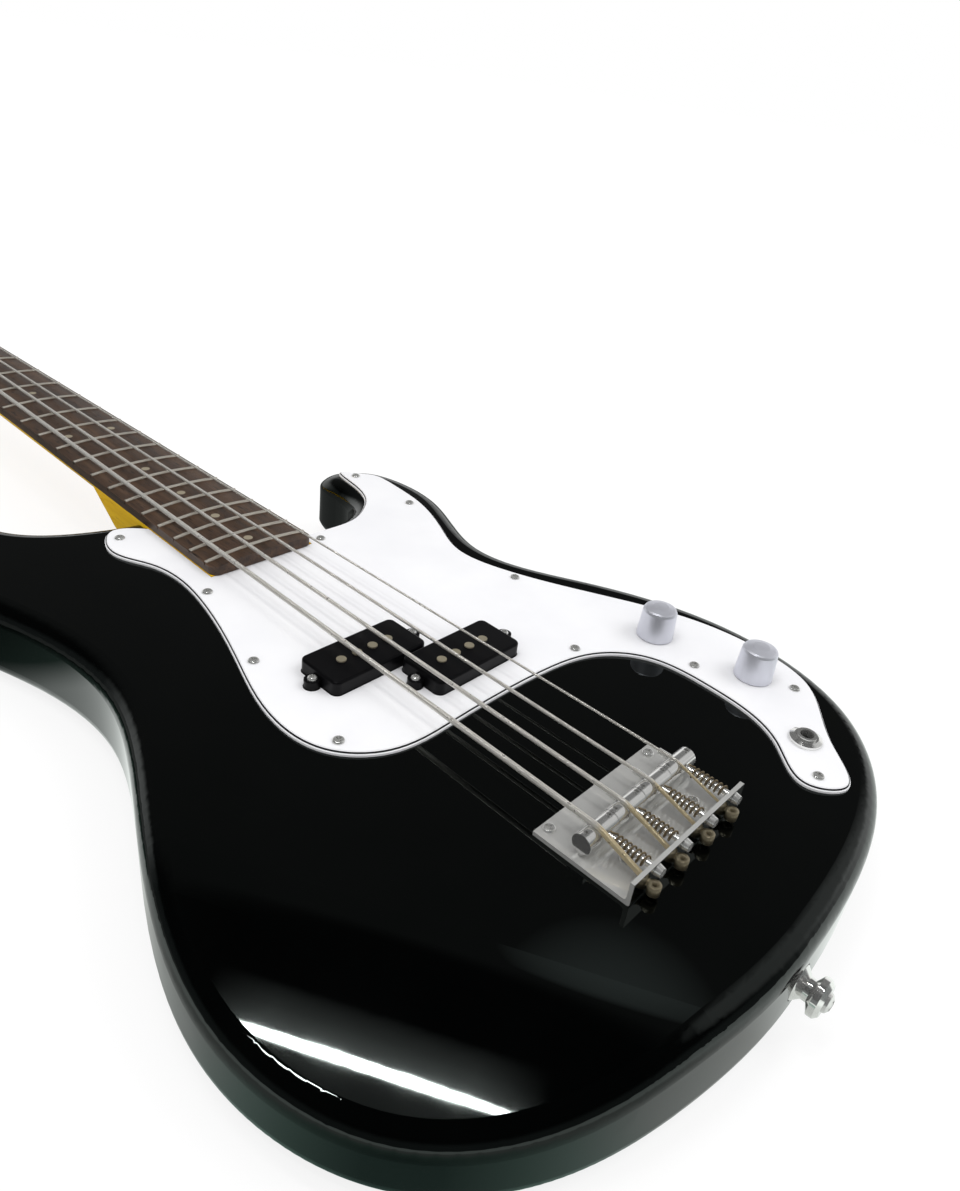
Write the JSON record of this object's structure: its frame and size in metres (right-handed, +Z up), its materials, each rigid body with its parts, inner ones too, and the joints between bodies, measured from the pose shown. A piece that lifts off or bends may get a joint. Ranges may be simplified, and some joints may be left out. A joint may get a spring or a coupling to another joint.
{
  "type": "electric bass guitar",
  "caption": "Solid-body electric bass guitar with a double-cutaway contoured body, bolt-on neck, split pickup, barrel-saddle bridge, control knobs and geared tuners.",
  "frame": {"origin": "on the centre line, under the bridge saddles' line, on the flat back of the body", "axes": "+X towards the treble side, +Y along the strings towards the headstock, +Z up out of the face"},
  "size_m": [0.3383, 1.1702, 0.0652],
  "materials": {
    "body_lacquer": "gloss black lacquer",
    "maple": "gloss amber lacquer",
    "rosewood": "oiled satin",
    "fret_wire": "polished nickel",
    "cream_inlay": "satin",
    "nut_bone": "satin",
    "plain_steel": "satin",
    "chrome": "polished",
    "wound_string": "satin",
    "screw_steel": "polished",
    "spring_steel": "satin",
    "guard_sheet": "gloss white over a black core",
    "pickup_black": "satin",
    "pole_steel": "satin",
    "fibre_board": "matte",
    "coil_copper": "enamelled wire",
    "foam": "matte",
    "knob_metal": "satin chrome",
    "pot_metal": "satin",
    "capacitor_case": "gloss",
    "wire_cover": "cloth covered"
  },
  "bodies": {
    "instrument": {"body": "body_lacquer", "bridge_plate": "chrome", "bridge_screws": "screw_steel", "fingerboard": "rosewood", "frets": "fret_wire", "intonation_spring_a": "spring_steel", "intonation_spring_d": "spring_steel", "intonation_spring_e": "spring_steel", "intonation_spring_g": "spring_steel", "jack_nut": "chrome", "neck": "maple", "neck_plate": "chrome", "neck_screws": "screw_steel", "nut": "nut_bone", "output_jack": "chrome", "pickguard": "guard_sheet", "pickguard_screws": "screw_steel", "pickup_bobbins": "fibre_board", "pickup_coils": "coil_copper", "pickup_cover_bass": "pickup_black", "pickup_cover_treble": "pickup_black", "pickup_foam": "foam", "pickup_pole_pieces": "pole_steel", "pickup_screws": "screw_steel", "position_dots": "cream_inlay", "pot_nuts": "chrome", "pots": "pot_metal", "strap_button_screws": "screw_steel", "strap_buttons": "chrome", "string_a": "wound_string", "string_d": "wound_string", "string_e": "wound_string", "string_g": "wound_string", "string_tree": "chrome", "tone_capacitor": "capacitor_case", "truss_rod": "plain_steel", "tuner_bushings": "chrome", "tuner_housings": "chrome", "tuner_screws": "screw_steel", "wiring": "wire_cover"},
    "volume": {"volume_knob": "knob_metal", "volume_shaft": "plain_steel"},
    "tone": {"tone_knob": "knob_metal", "tone_shaft": "plain_steel"},
    "intonation_e": {"intonation_screw_e": "screw_steel"},
    "saddle_e": {"saddle_e": "chrome"},
    "key_e": {"tuner_key_e": "chrome"},
    "post_e": {"tuner_post_e": "chrome"},
    "intonation_a": {"intonation_screw_a": "screw_steel"},
    "saddle_a": {"saddle_a": "chrome"},
    "key_a": {"tuner_key_a": "chrome"},
    "post_a": {"tuner_post_a": "chrome"},
    "intonation_d": {"intonation_screw_d": "screw_steel"},
    "saddle_d": {"saddle_d": "chrome"},
    "key_d": {"tuner_key_d": "chrome"},
    "post_d": {"tuner_post_d": "chrome"},
    "intonation_g": {"intonation_screw_g": "screw_steel"},
    "saddle_g": {"saddle_g": "chrome"},
    "key_g": {"tuner_key_g": "chrome"},
    "post_g": {"tuner_post_g": "chrome"}
  },
  "joints": [
    {"name": "volume_turn", "type": "hinge", "parent": "instrument", "child": "volume", "pos_m": [0.11849, 0.06757, 0.0469], "axis": [0, 0, 1], "range_deg": [-150, 150]},
    {"name": "tone_turn", "type": "hinge", "parent": "instrument", "child": "tone", "pos_m": [0.12852, 0.01402, 0.0469], "axis": [0, 0, 1], "range_deg": [-150, 150]},
    {"name": "intonation_turn_e", "type": "hinge", "parent": "instrument", "child": "intonation_e", "pos_m": [-0.0239, -0.027, 0.053], "axis": [0, 1, 0], "range_deg": [-2580, 2580]},
    {"name": "saddle_slide_e", "type": "slide", "parent": "instrument", "child": "saddle_e", "axis": [0, 1, 0], "range_m": [-0.005, 0.005], "deforming": ["intonation_spring_e", "string_e"]},
    {"name": "intonation_turn_a", "type": "hinge", "parent": "instrument", "child": "intonation_a", "pos_m": [-0.0049, -0.027, 0.053], "axis": [0, 1, 0], "range_deg": [-2580, 2580]},
    {"name": "saddle_slide_a", "type": "slide", "parent": "instrument", "child": "saddle_a", "axis": [0, 1, 0], "range_m": [-0.005, 0.005], "deforming": ["intonation_spring_a", "string_a"]},
    {"name": "intonation_turn_d", "type": "hinge", "parent": "instrument", "child": "intonation_d", "pos_m": [0.0141, -0.027, 0.053], "axis": [0, 1, 0], "range_deg": [-2580, 2580]},
    {"name": "saddle_slide_d", "type": "slide", "parent": "instrument", "child": "saddle_d", "axis": [0, 1, 0], "range_m": [-0.005, 0.005], "deforming": ["intonation_spring_d", "string_d"]},
    {"name": "intonation_turn_g", "type": "hinge", "parent": "instrument", "child": "intonation_g", "pos_m": [0.0331, -0.027, 0.053], "axis": [0, 1, 0], "range_deg": [-2580, 2580]},
    {"name": "saddle_slide_g", "type": "slide", "parent": "instrument", "child": "saddle_g", "axis": [0, 1, 0], "range_m": [-0.005, 0.005], "deforming": ["intonation_spring_g", "string_g"]},
    {"name": "key_turn_e", "type": "hinge", "parent": "instrument", "child": "key_e", "pos_m": [-0.0239, 0.89916, 0.0242], "axis": [-0.974, 0.2265, 0], "continuous": true},
    {"name": "post_turn_e", "type": "hinge", "parent": "instrument", "child": "post_e", "pos_m": [-0.0225, 0.9052, 0.0308], "axis": [0, 0, 1], "continuous": true},
    {"name": "key_turn_a", "type": "hinge", "parent": "instrument", "child": "key_a", "pos_m": [-0.0139, 0.94216, 0.0242], "axis": [-0.974, 0.2265, 0], "continuous": true},
    {"name": "post_turn_a", "type": "hinge", "parent": "instrument", "child": "post_a", "pos_m": [-0.0125, 0.9482, 0.0308], "axis": [0, 0, 1], "continuous": true},
    {"name": "key_turn_d", "type": "hinge", "parent": "instrument", "child": "key_d", "pos_m": [-0.0039, 0.98516, 0.0242], "axis": [-0.974, 0.2265, 0], "continuous": true},
    {"name": "post_turn_d", "type": "hinge", "parent": "instrument", "child": "post_d", "pos_m": [-0.0025, 0.9912, 0.0308], "axis": [0, 0, 1], "continuous": true},
    {"name": "key_turn_g", "type": "hinge", "parent": "instrument", "child": "key_g", "pos_m": [0.0061, 1.02816, 0.0242], "axis": [-0.974, 0.2265, 0], "continuous": true},
    {"name": "post_turn_g", "type": "hinge", "parent": "instrument", "child": "post_g", "pos_m": [0.0075, 1.0342, 0.0308], "axis": [0, 0, 1], "continuous": true}
  ],
  "couplings": [
    {"joint": "intonation_turn_e", "follows": "saddle_slide_e", "rad_per_m": -8976},
    {"joint": "intonation_turn_a", "follows": "saddle_slide_a", "rad_per_m": -8976},
    {"joint": "intonation_turn_d", "follows": "saddle_slide_d", "rad_per_m": -8976},
    {"joint": "intonation_turn_g", "follows": "saddle_slide_g", "rad_per_m": -8976},
    {"joint": "post_turn_e", "follows": "key_turn_e", "ratio": 0.05},
    {"joint": "post_turn_a", "follows": "key_turn_a", "ratio": 0.05},
    {"joint": "post_turn_d", "follows": "key_turn_d", "ratio": 0.05},
    {"joint": "post_turn_g", "follows": "key_turn_g", "ratio": 0.05}
  ]
}
